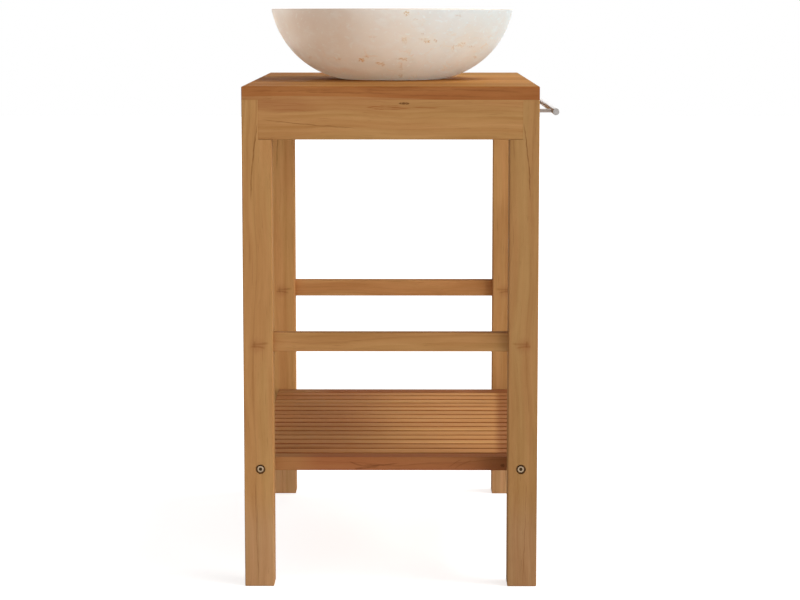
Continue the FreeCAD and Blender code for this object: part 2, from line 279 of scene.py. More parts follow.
def seen(red, green, blue, lift=1.0):
    """A colour as a screen shows it, 0 to 255, as the light it gives back, made lighter or darker by lift."""
    share = np.array([red, green, blue]) / 255
    light = np.where(share <= 0.04045, share / 12.92, ((share + 0.055) / 1.055) ** 2.4) * lift
    return (*np.clip(light, 0, 1).tolist(), 1.0)


def metres(pair, third=0):
    """A vector in metres from two lengths in millimetres."""
    return pair[0] * MM, pair[1] * MM, third


print("node pen ready")

# %% [markdown]
# ## Teak as it grows
#
# A board is cut out of a trunk, so its figure is the trunk's rings met by a flat cut. A flat image of grain
# would have to be stretched over each face and would never meet at the corners. Here the rings stand in the
# solid: a point's distance from the pith, a line beside the board, says which ring it is in. The pith wanders
# with a slow noise, each ring darkens slowly and ends at once, and a few rings are stronger. Oiled teak seen
# from a few steps away is softer than that, though: most of what one sees are blurred streaks, a finger wide
# and a hand long, some rosy and some yellow. They are noises drawn out along the grain, which is never quite
# straight, so all of them are bent by one slow flow. Because it is worked out in space, the face, edge and
# end of a board agree, and an end cut shows arcs.
#
# The group's X runs along the grain, from the middle of the board. It also darkens the cut ends and the
# eased corners, where oil gathers: the distance from a corner is the middle one of the three distances
# between the point and the board's sides.

# %% Teak grain group
# Clouds in a metre along the grain and across it, and how fine each noise is.
GRAIN_NOISES = {
    "wander": (1.5, 8, 1.0), "drift": (2.0, 26, 2.0), "tone": (1.3, 16, 2.0), "streak": (7, 105, 2.0),
    "hue": (3.1, 44, 2.0), "fibre": (9, 420, 3.0), "hairs": (15, 650, 1.0), "pores": (55, 1500, 1.0),
}
FLOW_COUNTS, FLOW_REACH, WANDER_REACH, RING_DRIFT = (6, 9, 9), (0, 0.016, 0.016), (0, 0.020, 0.020), 1.3
SEED_SHIFTS, SEED_YEARS = (7.31, 3.17, 5.73), 13.7
LATE_SHARE, TONE_SHARE, STREAK_SHARE, FIBRE_SHARE, FIGURE_MIDDLE = 0.30, 1.1, 0.95, 0.35, 0.38
RIM_SHARE, HAIR_SHARE, PORE_SHARE = 0.18, 0.22, 0.12
ROSY_TINT, CUT_END_TINT, WORN_TINT = (1.0, 0.935, 0.945, 1), (0.55, 0.47, 0.40, 1), (0.74, 0.62, 0.52, 1)
CUT_END_SHARE, WORN_SHARE, WORN_LIMITS = 0.75, 0.34, (2.6, 0.4)


def teak_grain_group():
    pen, given, handed = node_group("Teak grain", {
        "Place": ORIGIN, "Facing": (0, 0, 1), "Half Size": (0.1, 0.1, 0.1), "Pith": (0, 0.05, -0.06),
        "Ring Gap": 0.006, "Seed": 0.0, "Contrast": 1.0, "Pale": WHITE, "Dark": WHITE, "Line": WHITE,
    }, ["Color", "Roughness", "Height"])
    place, seed, contrast = given["Place"], given["Seed"], given["Contrast"]
    shift = pen.pack(*(pen.times(seed, step) for step in SEED_SHIFTS))
    flow = pen.noise(place, FLOW_COUNTS, 1.0, shift, "Color")
    waved = pen.pushed(place, flow, FLOW_REACH)

    def drawn_out(name, output="Fac"):
        along, across, detail = GRAIN_NOISES[name]
        return pen.noise(waved, (along, across, across), detail, shift, output)

    bent = pen.pushed(waved, drawn_out("wander", "Color"), WANDER_REACH)
    beside = pen.vector("MULTIPLY", pen.vector("SUBTRACT", bent, given["Pith"]), (0, 1, 1))
    gaps = pen.sum("DIVIDE", pen.vector("LENGTH", beside), given["Ring Gap"])
    ring = pen.sum("ADD", gaps, pen.times(drawn_out("drift"), RING_DRIFT))
    within = pen.sum("FRACT", ring)
    year = pen.sum("ADD", pen.sum("FLOOR", ring), pen.times(seed, SEED_YEARS))
    strength = pen.add("ShaderNodeTexWhiteNoise", {"W": year}, noise_dimensions="1D")["Value"]
    late = pen.times(pen.sum("POWER", within, 1.8), pen.step(within, 1.0, 0.80))
    late = pen.times(late, pen.plus(0.2, strength, 0.8))
    rim = pen.times(pen.step(within, 0.72, 0.90), pen.step(within, 1.0, 0.94))
    rim = pen.times(rim, pen.step(strength, 0.80, 0.97))

    tone, fibre = drawn_out("tone"), drawn_out("fibre")
    pores = pen.step(drawn_out("pores"), 0.60, 0.72)
    figure = pen.times(late, LATE_SHARE)
    for noise, share in ((tone, TONE_SHARE), (drawn_out("streak"), STREAK_SHARE), (fibre, FIBRE_SHARE)):
        figure = pen.plus(figure, pen.less(noise, 0.5), share)
    figure = pen.plus(FIGURE_MIDDLE, figure, contrast, clamp=True)
    colour = pen.lay(given["Pale"], given["Dark"], figure)
    colour = pen.tint(colour, ROSY_TINT, pen.step(drawn_out("hue"), 0.38, 0.62))
    colour = pen.lay(colour, given["Line"], rim, pen.times(contrast, RIM_SHARE))
    colour = pen.lay(colour, given["Line"], pen.step(drawn_out("hairs"), 0.66, 0.76), HAIR_SHARE)
    colour = pen.lay(colour, given["Line"], pores, PORE_SHARE)

    cut_end = pen.step(pen.split(pen.vector("ABSOLUTE", given["Facing"]))[0], 0.55, 0.85)
    colour = pen.tint(colour, CUT_END_TINT, cut_end, CUT_END_SHARE)
    x, y, z = pen.split(pen.vector("SUBTRACT", given["Half Size"], pen.vector("ABSOLUTE", place)))
    upper = pen.sum("MINIMUM", pen.sum("MAXIMUM", x, y), z)
    from_corner = pen.most(pen.sum("MINIMUM", x, y), upper)
    worn = pen.times(pen.ramp(from_corner, *WORN_LIMITS), pen.plus(-0.1, tone, 1.2))
    colour = pen.tint(colour, WORN_TINT, worn, WORN_SHARE)

    rough = pen.plus(pen.plus(0.56, fibre, 0.16), cut_end, 0.14)
    height = pen.plus(pen.times(fibre, 0.7), late, -0.35)
    pen.feed(handed, [colour, pen.plus(rough, worn, -0.08), pen.plus(height, pores, -0.8)])
    return pen.tree


print("group:", teak_grain_group().name)

# %% [markdown]
# ## Marks in the wood
#
# Two marks stand out of the plain grain. A dark seam is a thin line of mineral that follows the grain in a
# shallow bow. A knot is a small branch cut along its length, a flat lens with a dark core and dark lids.
# Both are drawn as distances on the board's face, one from a parabola and one from the outline of an
# ellipse, and a little noise takes the ruler out of them. A parabola that runs from start to end and bows
# sideways is start + run * (end - start) + 4 * run * (1 - run) * bow, where run goes from 0 to 1.

# %% Seam and knot groups
SEAM_SHAKE, KNOT_SHAKE = 0.0040, (0.0035, 0.0015, 0)


def bowed_line(pen, along, start, end, bow):
    """The parabola's place across the face at a place along it, and how far its run has gone."""
    run = pen.sum("DIVIDE", pen.less(along, start[0]), pen.less(end[0], start[0]))
    straight = pen.plus(start[1], run, pen.less(end[1], start[1]))
    bulge = pen.times(run, pen.less(1.0, run), 4.0)
    return pen.plus(straight, bulge, bow), run


def seam_group():
    """Seam: the line runs from Start to End (along, across) and bows sideways by Bow at its middle."""
    inputs = {"Place": ORIGIN, "Start": ORIGIN, "End": (0.1, 0, 0), "Bow": 0.0, "Width": 0.001}
    pen, given, handed = node_group("Dark seam", inputs, ["Mask"])
    place = given["Place"]
    along, across, _ = pen.split(place)
    line, run = bowed_line(pen, along, pen.split(given["Start"]), pen.split(given["End"]), given["Bow"])
    line = pen.plus(line, pen.less(pen.noise(place, 45, 2.0), 0.5), SEAM_SHAKE)
    away = pen.sum("ABSOLUTE", pen.less(across, line))
    mask = pen.step(pen.sum("DIVIDE", away, given["Width"]), 1.0, 0.1)
    fade = pen.times(pen.step(run, 0.0, 0.15), pen.step(run, 1.0, 0.75))
    broken = pen.step(pen.noise(place, (60, 9, 9), 2.0), 0.15, 0.58)
    pen.feed(handed, [pen.times(mask, fade, broken)])
    return pen.tree


def knot_group():
    """Knot: a lens about Centre (along, across), Reach (along, across) from its middle to its ends."""
    inputs = {"Place": ORIGIN, "Centre": ORIGIN, "Reach": (0.003, 0.0115, 1)}
    pen, given, handed = node_group("Lens knot", inputs, ["Dark", "Halo"])
    place = given["Place"]
    shaken = pen.pushed(place, pen.noise(place, 160, 2.0, output="Color"), KNOT_SHAKE)
    away = pen.vector("SUBTRACT", shaken, given["Centre"])
    along, across, _ = pen.split(pen.vector("DIVIDE", away, given["Reach"]))
    ring = pen.vector("LENGTH", pen.pack(along, across, 0))
    lid = pen.times(pen.step(ring, 0.45, 0.85), pen.step(ring, 1.45, 0.95))
    lid = pen.times(lid, pen.step(pen.noise(place, (300, 90, 90), 1.0), 0.20, 0.50))
    pen.feed(handed, [pen.most(lid, pen.step(ring, 0.85, 0.35)), pen.step(ring, 3.2, 0.8)])
    return pen.tree


print("groups:", seam_group().name, "and", knot_group().name)

# %% [markdown]
# ## One material for each board
#
# Real boards come from different planks, so no two here share a figure. A Mapping node takes the piece's own
# coordinates to its middle and turns the grain along X, and the seed and the pith's place make the cut its
# own. Tone says how light a board is, and warmth how red. The board's own marks are laid over the grain.
# Years of oil and air leave teak almost dull, so the shader's mirror share is small.

# %% Teak material
TEAK_PALE, TEAK_DARK, TEAK_LINE, TEAK_RED = (187, 144, 92), (152, 106, 59), (98, 56, 29), (150, 90, 56)
TEAK_SHEEN, TEAK_BUMP = 0.006, (0.35, 0.4 * MM)
GRAIN_TURNS = {"X": ORIGIN, "Y": (0, 0, math.pi / 2), "Z": (0, -math.pi / 2, 0)}
GRAIN_ORDERS = {"X": [0, 1, 2], "Y": [1, 0, 2], "Z": [2, 1, 0]}


def between(first, second, share):
    """The colour that lies so far from the first to the second."""
    return (a + (b - a) * share for a, b in zip(first, second))


def board(name, grain, seed, tone=1.0, warmth=0.0, ring_gap=0.006, contrast=1.0, pith=None, marks=None):
    """Dresses one board, whose grain runs along the X, Y or Z axis of the washstand, in a teak of its own."""
    material, pen, shader = material_pen(f"Teak {name}")
    low, high = corners(name)
    turn = GRAIN_TURNS[grain]
    coordinates = pen.add("ShaderNodeTexCoord")
    place = pen.mapped(coordinates["Object"], ((low + high) / 2).tolist(), turn)
    pith = pith or (0.050 + 0.035 * math.sin(seed * 2.4), -0.055 + 0.030 * math.cos(seed * 1.7))
    wood = pen.use("Teak grain", {
        "Place": place, "Facing": pen.mapped(coordinates["Normal"], turn=turn),
        "Half Size": ((high - low) / 2)[GRAIN_ORDERS[grain]].tolist(), "Pith": (0, *pith),
        "Ring Gap": ring_gap, "Seed": seed, "Contrast": contrast,
        "Pale": seen(*between(TEAK_PALE, TEAK_RED, warmth), tone),
        "Dark": seen(*between(TEAK_DARK, TEAK_RED, warmth), tone), "Line": seen(*TEAK_LINE, tone)})
    pen.feed(shader, {
        "Base Color": marks(pen, place, wood["Color"]) if marks else wood["Color"],
        "Roughness": wood["Roughness"], "Normal": pen.bump(wood["Height"], *TEAK_BUMP),
        "Specular IOR Level": TEAK_SHEEN})
    dress(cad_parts[name], material)


def draw_seams(pen, face, colour, ink, rows):
    """Lays seams of the ink over the colour. Each row has a start, an end, a bow, a width and a strength,
    with lengths in millimetres from the board's middle."""
    for start, end, bow, width, strength in rows:
        values = {"Start": metres(start), "End": metres(end), "Bow": bow * MM, "Width": width * MM}
        mask = pen.use("Dark seam", {"Place": face, **values})["Mask"]
        colour = pen.lay(colour, seen(*ink), mask, strength)
    return colour


def knot(pen, face, centre, reach):
    """The masks of one knot, which is placed in millimetres from the board's middle."""
    return pen.use("Lens knot", {"Place": face, "Centre": metres(centre), "Reach": metres(reach, 1)})


print("teak colours:", TEAK_PALE, TEAK_DARK, TEAK_LINE, TEAK_RED)

# %% [markdown]
# ## The legs
#
# Each leg carries the same marks, as legs ripped from one plank do: a seam that bows down from the apron, a
# spike knot at the height of the stretchers, and a faint seam below the shelf's bolt. The spike knot is a
# branch that the saw met nearly end on: two wavy lips across the grain, a short tick that closes them on the
# outer side, and rosy wood around. The back legs have the marks one way round and the front legs mirrored,
# placed from the leg's middle in millimetres. The feet are greyer, and one leg has a pale top.

# %% Leg marks and materials
LEG_SEAMS = (
    ((344, -2.5), (215, 9.5), 2.6, 1.4, 0.62),
    ((-200, 6), (-385, 0), 1.0, 0.9, 0.35),
    ((8.2, 5.6), (-3.6, 5.3), 0.2, 2.3, 0.34),
)
LEG_LIPS = (
    ((10.5, 3.2), (-18.5, 4.6), -0.6, 2.9, 0.46),
    ((12.5, -0.6), (-12.5, -3.4), 0.9, 2.7, 0.50),
)
LEG_ROSE, LEG_ROSE_REACH, LEG_ROSE_SHARE = (0.5, 1.0), (5.0, 5.5), 0.28
LEG_INK, LEG_FAINT_INK = (104, 58, 28), (132, 80, 44)
# Each leg's tone; the far legs, whose names end in right, are painted lighter to make up for the light they
# lack.
LEG_TONES_AND_LIGHT = {"leg_back_left": 1.10, "leg_front_left": 0.95, "leg_back_right": 1.31, "leg_front_right": 1.20}
LEG_PITH = (0.075, 0.045)
# A shade is a tint, and where along the grain it begins and is whole, in millimetres.
FEET = (1.03, 1.10, 1.36, 1), -215, -300
PALE_TOPS = {"leg_front_right": ((1.22, 1.26, 1.32, 1), 120, 200)}


def mirrored(rows, along, across):
    """Seam rows whose lengths along the face and across it are multiplied by 1 or -1."""
    return [((start[0] * along, start[1] * across), (end[0] * along, end[1] * across), bow * across, *rest)
            for start, end, bow, *rest in rows]


def leg_marks(side, ink, pale_top):
    """The marks of a leg, where side is 1 on the back legs and -1, mirrored, on the front ones."""
    def draw(pen, place, colour):
        along, across, _ = pen.split(place)
        face, crosswise = pen.pack(along, across, 0), pen.pack(across, along, 0)
        colour = pen.shade(colour, along, *FEET)
        if pale_top:
            colour = pen.shade(colour, along, *pale_top)
        rose = knot(pen, face, (LEG_ROSE[0], side * LEG_ROSE[1]), LEG_ROSE_REACH)["Halo"]
        colour = pen.lay(colour, seen(*TEAK_RED), rose, LEG_ROSE_SHARE)
        colour = draw_seams(pen, face, colour, ink, mirrored(LEG_SEAMS, 1, side))
        return draw_seams(pen, crosswise, colour, LEG_FAINT_INK, mirrored(LEG_LIPS, side, 1))
    return draw


legs = nodes_named("leg_")
for index, name in enumerate(legs):
    side = -1 if "front" in name else 1
    ink = LEG_INK if "left" in name else LEG_FAINT_INK
    board(name, "Z", 1.0 + 0.37 * index, tone=LEG_TONES_AND_LIGHT[name], ring_gap=0.0085, contrast=0.75,
          pith=(side * LEG_PITH[0], LEG_PITH[1]), marks=leg_marks(side, ink, PALE_TOPS.get(name)))
print("legs:", legs)

# %% [markdown]
# ## Aprons and stretchers
#
# The end aprons are let into the legs and planed flush, so only a change of figure shows the joint. The
# apron in view has a small dark knot near its upper edge, a rosy band beside it with a few red streaks, and a
# long oblique seam that fades before the middle. The stretchers are plainer, and slightly redder.

# %% Apron marks and materials
APRON_KNOT, APRON_KNOT_REACH, APRON_KNOT_SHARE = (-20.5, 24.6), (6.4, 1.4), 0.85
APRON_STREAK_RED = (142, 76, 40)
APRON_SEAMS = [((198, 0.4), (40, -14.2), -0.7, 1.0, 0.50)]
APRON_STREAKS = (
    ((40, 19), (-22, 18.4), 0.5, 1.5, 0.62),
    ((30, 16.0), (-34, 17.0), -0.4, 1.2, 0.55),
    ((18, 21.5), (-16, 21.0), 0.3, 1.0, 0.45),
    ((-34, 18.6), (-76, 17.6), 0.3, 1.3, 0.50),
    ((196, 26), (120, 22), 1.0, 1.4, 0.22),
    ((190, 17), (96, 13.5), -0.8, 1.2, 0.22),
)
BAND_LIMITS, BAND_SOFT, BAND_SWAY, BAND_SWAY_COUNTS = (13, 40), 5, 0.022, (7, 60, 1)
BAND_STRONG_LIMITS, BAND_STRONG_SOFT, BAND_STRONG_SHARE, BAND_SHARE = (118, 240), 25, 0.28, 0.14
# Each stretcher's tone; the far one, on the right, is painted lighter to make up for the light it lacks.
STRETCHER_TONES_AND_LIGHT = {"left": 1.10, "right": 1.32}


def window(pen, value, limits, soft):
    """1 between two limits and 0 outside, in millimetres, with edges so soft."""
    start, end = limits
    rise = pen.ramp(value, start - soft, start + soft)
    return pen.times(rise, pen.ramp(value, end + soft, end - soft))


def apron_marks(pen, place, colour):
    """A rosy band along the upper edge with red streaks, a small knot in it, and one oblique seam below."""
    along, _, height = pen.split(place)
    face = pen.pack(along, height, 0)
    sway = pen.less(pen.noise(face, BAND_SWAY_COUNTS, 3.0), 0.5)
    band = window(pen, pen.plus(height, sway, BAND_SWAY), BAND_LIMITS, BAND_SOFT)
    strong = window(pen, along, BAND_STRONG_LIMITS, BAND_STRONG_SOFT)
    colour = pen.lay(colour, seen(*TEAK_RED), band, pen.plus(BAND_SHARE, strong, BAND_STRONG_SHARE))
    colour = draw_seams(pen, face, colour, TEAK_LINE, APRON_SEAMS)
    colour = draw_seams(pen, face, colour, APRON_STREAK_RED, APRON_STREAKS)
    dark = knot(pen, face, APRON_KNOT, APRON_KNOT_REACH)["Dark"]
    return pen.lay(colour, seen(*TEAK_LINE, 0.7), dark, APRON_KNOT_SHARE)


for index, (end, tone) in enumerate(STRETCHER_TONES_AND_LIGHT.items()):
    board(f"apron_{end}", "Y", 5.2 + index, tone=1.08, ring_gap=0.0075, contrast=0.9, pith=(0.040, -0.090),
          marks=apron_marks)
    board(f"stretcher_{end}", "Y", 11.3 + index, tone=tone, warmth=0.10)
for index, side in enumerate(("front", "back")):
    board(f"apron_{side}", "X", 8.4 + index, tone=0.98, warmth=0.05)
print("aprons and stretchers:", nodes_named("apron_", "stretcher_"))

# %% [markdown]
# ## The top
#
# Five boards run from front to back. Neighbours differ in tone, as glued planks do. The upper side carries
# painted light and shade: a deeper, warmer tint that takes out the pale sheen of the white studio, painted
# shade towards the back where the bowl's shadow falls, and painted light at the front. The outer edge of
# the end boards is red heartwood with a few dark streaks, and a pale streak of sapwood comes in along its
# lower corner and runs out towards the front. Its upper limit is a bowed line, like a seam's.

# %% Top boards
TOP_TONES = (1.04, 1.18, 1.10, 1.22, 1.15)
TOP_WARMTHS = (0.30, 0.20, 0.30, 0.12, 0.22)
# Painted light and shade on the upper side: a deeper, warmer tint against the pale sheen, painted shadow of
# the bowl towards the back, and painted light at the front.
UPPER_SHEEN_OFFSET_TINT, UPPER_SIDE_DEPTHS = (1.0, 0.96, 0.755, 1), (1.5, 0.5)
TOP_PAINTED_SHADE_AND_LIGHT = ((0.84, 0.76, 0.66, 1), 100, 190), ((1.10, 1.16, 1.14, 1), -70, -140)
HEART, HEART_BORDER = ((0.90, 0.735, 0.63, 1), 3.0, 1.5), (-0.6, 0.8)
SAPWOOD_START, SAPWOOD_END, SAPWOOD_BOW = (224, -5.0), (-75, -10.0), 2.4
EDGE_STREAKS = (
    ((215, 3.0), (70, 5.5), -0.6, 1.6, 0.26),
    ((140, 1.5), (-30, -1.5), 0.6, 1.8, 0.34),
    ((50, 4.5), (-110, 3.0), 0.5, 1.4, 0.28),
    ((-10, -3.5), (-150, -6.0), 0.8, 1.6, 0.30),
    ((-80, 6.0), (-205, 1.0), 0.5, 1.8, 0.30),
)


def top_marks(name, outward):
    """Painted light and shade on the upper side: a tint against the studio's pale sheen, the bowl's shadow
    towards the back and light at the front. Where outward is 1 or -1, also heartwood a few millimetres deep
    on the board's edge on that side of the grain's Y, save under the sapwood's limit."""
    low, high = corners(name)
    half_width, _, half_height = (high - low) / 2

    def draw(pen, place, colour):
        along, aside, height = pen.split(place)
        upper = pen.step(height, *(half_height - depth * MM for depth in UPPER_SIDE_DEPTHS))
        # Painted shade: the upper side tinted deeper and warmer to take out the pale sheen.
        colour = pen.tint(colour, UPPER_SHEEN_OFFSET_TINT, upper)
        # Painted shadow of the bowl towards the back, and painted light at the front.
        for shade in TOP_PAINTED_SHADE_AND_LIGHT:
            colour = pen.shade(colour, along, *shade, upper)
        if not outward:
            return colour
        limit, _ = bowed_line(pen, along, metres(SAPWOOD_START), metres(SAPWOOD_END), SAPWOOD_BOW * MM)
        heart = pen.ramp(pen.less(height, limit), *HEART_BORDER)
        colour = pen.shade(colour, pen.plus(half_width, aside, -outward), *HEART, heart)
        return draw_seams(pen, pen.pack(along, height, 0), colour, TEAK_LINE, EDGE_STREAKS)
    return draw


top_boards = nodes_named("top_board")
outward = {top_boards[0]: 1, top_boards[-1]: -1}
for index, name in enumerate(top_boards):
    board(name, "Y", 20.5 + 1.9 * index, tone=TOP_TONES[index], warmth=TOP_WARMTHS[index], ring_gap=0.0095,
          contrast=1.25, marks=top_marks(name, outward.get(name, 0)))
print("top boards:", len(top_boards))

# %% [markdown]
# ## The shelf
#
# Fifteen thin slats and a wider board at each end. The slats come from offcuts, so their tones differ
# most. A sequence of steps of the golden ratio gives each a tone of its own with no two neighbours
# alike, and needs no random numbers. Their long edges carry painted shade, as in the gaps between them,
# their front half painted light, and their very front painted shade along the front edge. The end boards
# are redder, paler at the back and painted darkest at the front with the shadow of the leg beside them,
# with a dark figure that lies across the middle like a long lens.

# %% Slats, end boards and hidden wood
GOLDEN = 0.618034
# Painted light on the slats' front half, painted shade over their front ends, and painted shade along their
# long edges as in the gaps.
SLAT_PAINTED_LIGHT_TINT, SLAT_PAINTED_LIGHT_LIMITS, SLAT_PAINTED_LIGHT_SHARE = (1.20, 1.33, 1.32, 1), (100, -30), 0.9
SLAT_FRONT_SHADE_TINT, SLAT_FRONT_SHADE_LENGTHS, SLAT_FRONT_SHADE_SOFT = (0.64, 0.54, 0.55, 1), (43, 24), 8
SLAT_GAP_SHADE_TINT, SLAT_GAP_SHADE_LIMITS = (0.54, 0.41, 0.33, 1), (1.3, 0.3)
SHELF_STROKES = (
    ((66, 4.0), (30, -6.5), -1.0, 1.8, 0.45),
    ((44, -2.5), (-14, 1.5), -1.8, 1.5, 0.70),
    ((58, -7.0), (16, -3.8), -1.2, 2.2, 0.55),
    ((-86, -8.0), (-112, 7.5), 1.0, 1.4, 0.35),
    ((-98, -8.0), (-128, 6.5), 1.2, 1.4, 0.30),
)
SHELF_KNOT, SHELF_KNOT_REACH, SHELF_KNOT_SHARE = (-174, -3.0), (3.0, 2.0), 0.6
# The ink of each end of the shelf's end boards, where it begins and is whole, and its share. The dark ink at
# the front is painted shadow of the leg beside it.
SHELF_END_PALE_AND_SHADE = (TEAK_PALE, 100, 170, 0.45), (TEAK_LINE, -125, -175, 0.36)


def slat_marks(name, front_shade_length, gap_shade_strength):
    """Painted shade along the long edges as in the gaps, painted light on the front half, and painted shade
    over so many millimetres at the front end.
    """
    low, high = corners(name)
    half_width, half_length, _ = (high - low) / 2

    def draw(pen, place, colour):
        along, aside, _ = pen.split(place)
        # Painted light on the front half.
        colour = pen.tint(colour, SLAT_PAINTED_LIGHT_TINT, pen.ramp(along, *SLAT_PAINTED_LIGHT_LIMITS), SLAT_PAINTED_LIGHT_SHARE)
        # Painted shade over the front end.
        front = pen.step(along, (front_shade_length + SLAT_FRONT_SHADE_SOFT) * MM - half_length,
                           (front_shade_length - SLAT_FRONT_SHADE_SOFT) * MM - half_length)
        colour = pen.tint(colour, SLAT_FRONT_SHADE_TINT, front)
        # Painted shade along the long edges, as in the gaps between slats.
        edge = pen.ramp(pen.less(half_width, pen.sum("ABSOLUTE", aside)), *SLAT_GAP_SHADE_LIMITS)
        return pen.tint(colour, SLAT_GAP_SHADE_TINT, edge, gap_shade_strength)
    return draw


def shelf_end_marks(pen, place, colour):
    """Pale towards the back, painted shadow of the leg towards the front, with strokes and one small knot
    between.
    """
    along, _, height = pen.split(place)
    face = pen.pack(along, height, 0)
    # Paler towards the back; painted shadow of the leg at the front.
    for ink, start, end, share in SHELF_END_PALE_AND_SHADE:
        colour = pen.lay(colour, seen(*ink), pen.ramp(along, start, end), share)
    colour = draw_seams(pen, face, colour, TEAK_LINE, SHELF_STROKES)
    dark = knot(pen, face, SHELF_KNOT, SHELF_KNOT_REACH)["Dark"]
    return pen.lay(colour, seen(*TEAK_LINE, 0.6), dark, SHELF_KNOT_SHARE)


slats = nodes_named("shelf_slat")
for index, name in enumerate(slats):
    turn = (index + 1) * GOLDEN % 1
    front_shade_length = np.interp(index, (0, len(slats) - 1), SLAT_FRONT_SHADE_LENGTHS)
    board(name, "Y", 40.1 + 1.3 * index, tone=1.30 + 0.16 * turn, warmth=0.27 + 0.14 * (turn * 3 % 1),
          contrast=1.1, marks=slat_marks(name, front_shade_length, 0.45 + 0.45 * turn))
for index, name in enumerate(nodes_named("shelf_end")):
    board(name, "Y", 70.6 + index, tone=1.10, warmth=0.72, ring_gap=0.0055, contrast=1.2,
          marks=shelf_end_marks)
hidden = nodes_named("shelf_batten", "top_cleat")
for index, name in enumerate(hidden):
    board(name, "X", 80.2 + index, tone=0.95, contrast=0.8)
print("slats:", len(slats), "with", len(hidden), "battens and cleats")

# %% [markdown]
# ## Stone
#
# The bowl is turned from a cream limestone marble: soft clouds of cream, pink and grey, white flecks,
# hair-thin broken veins, and specks of rust where iron has stained it. The clouds are two noises, one bent by
# the other. A vein is the line where a noise passes through its middle value, kept only in patches. On the
# far side the rust specks come at random in the cells of a Voronoi pattern. On the near side they are listed
# one by one in millimetres, across and up from the middle of the foot. A wide cloud of painted shade
# darkens the upper back, the front side is painted paler as the lit side, and the foot is painted pinker
# with warm light bounced from the wood.
#
# Light goes into such stone and comes out again some way off, so the shader scatters most of it below the
# surface. It does so less in the cloud of painted shade, which darkens it further, and where the bowl faces
# up, which would glow too much.

# %% Marble group and material
RUST_SPECKS = {
    "largest": (48, 34.5, 4.5, 2.6, 0.85), "beside largest": (40, 40, 2.8, 2.2, 0.55),
    "hook": (19, 29.5, 6.5, 1.8, 0.80), "hook tail": (13, 27.5, 2.2, 3.4, 0.60),
    "vein head": (-14, 36, 6.0, 1.7, 0.60), "vein": (-15, 24, 1.8, 7.0, 0.35),
    "vein foot": (-15, 8, 3.2, 3.0, 0.50), "beside vein": (-23, 36, 3.2, 2.0, 0.65),
    "ring": (-20, 66, 4.6, 4.6, 0.45), "middle": (30, 72, 7.0, 1.4, 0.25),
    "grey": (-50, 68, 9.0, 1.6, 0.30), "above": (-37, 100, 3.4, 1.6, 0.35),
    "cluster": (-56, 65, 5.0, 1.9, 0.75), "cluster top": (-50, 76, 2.4, 1.8, 0.55),
    "cluster end": (-70, 65, 2.8, 1.8, 0.60), "right stem": (-99, 54, 1.8, 5.0, 0.45),
    "right branch": (-113, 60, 6.0, 1.6, 0.50), "right vein": (-108, 57, 9.0, 1.5, 0.40),
    "right spur": (-127, 55, 4.5, 2.0, 0.50), "right low": (-135, 38, 3.0, 1.8, 0.45),
    "rim": (-24, 108.5, 3.4, 4.6, 0.75), "rim red": (-107, 105, 6.0, 1.5, 0.30),
    "pale left": (84, 35, 3.5, 1.8, 0.40), "back": (131, 37, 4.2, 2.2, 0.35),
}
SPECK_SHAKE, SPECK_BORDER, NEAR_SIDE_LIMITS = (0.010, 0.010, 0.008), (1.45, 0.60), (-30, -60)
STONE_CREAM, STONE_PINK, STONE_GREY = (246, 226, 207), (238, 204, 181), (225, 212, 196)
STONE_WHITE, STONE_RUST = (250, 239, 225), (206, 138, 54)
# Painted light and shade on the bowl: a cloud of painted shade on the upper back, painted warm bounce light
# at the foot, and painted light on the front side.
SHADE_CLOUD_CENTRE, SHADE_CLOUD_REACH, SHADE_CLOUD_TINT = (112, 122), 170, (0.60, 0.545, 0.50, 1)
FOOT_BOUNCE_TINT, FOOT_BOUNCE_HEIGHTS, FOOT_BOUNCE_LIMITS = (1.0, 0.90, 0.855, 1), (50, 0), (-85, 5)
LIT_SIDE_TINT, LIT_SIDE_LIMITS = (1.04, 1.10, 1.12, 1), (0, -90)
STONE_GLOW, SHADE_CLOUD_GLOW_LOSS, STONE_INSIDE_LOSS = 1.0, 0.57, 0.90
STONE_DEPTH, STONE_SPREAD, STONE_SHEEN, STONE_BUMP = 0.20, (1.25, 0.92, 0.80), 0.25, (0.25, 0.4 * MM)
RIM_POLISH, RIM_POLISH_DEPTH = 0.35, 1.0 * MM


def painted_shade_cloud(pen, place):
    """A wide soft mask of painted shade about a middle on the bowl's upper back."""
    _, beside, above = pen.split(place)
    away = pen.pack(0, pen.less(beside, SHADE_CLOUD_CENTRE[0] * MM), pen.less(above, SHADE_CLOUD_CENTRE[1] * MM))
    return pen.ramp(pen.vector("LENGTH", away), SHADE_CLOUD_REACH, 0)


